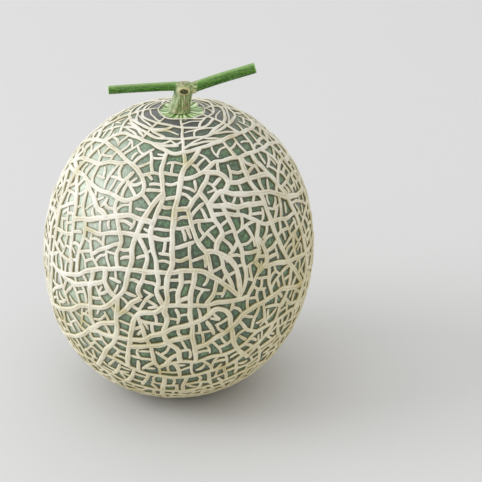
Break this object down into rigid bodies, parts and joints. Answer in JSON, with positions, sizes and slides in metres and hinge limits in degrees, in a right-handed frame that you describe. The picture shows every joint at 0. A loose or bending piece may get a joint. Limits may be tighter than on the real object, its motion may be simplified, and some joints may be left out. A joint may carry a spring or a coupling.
{
  "type": "netted cantaloupe melon",
  "caption": "Whole round netted melon with a corky raised net over green rind and a T-shaped piece of cut vine on its stem.",
  "frame": {"origin": "centre of the small flat spot on the underside that the fruit rests on", "axes": "+Z from the blossom end up to the stem, +X along the cut vine to the right as seen from the front, -Y towards the front"},
  "size_m": [0.1419, 0.1417, 0.1796],
  "materials": {
    "rind": "grey-green fruit rind, satin, finely mottled",
    "net": "dry cream cork, matt",
    "stem": "fresh green vine, finely hairy, matt"
  },
  "bodies": {
    "root": {"fruit": "rind", "net": "net", "stem": "stem"}
  },
  "joints": []
}
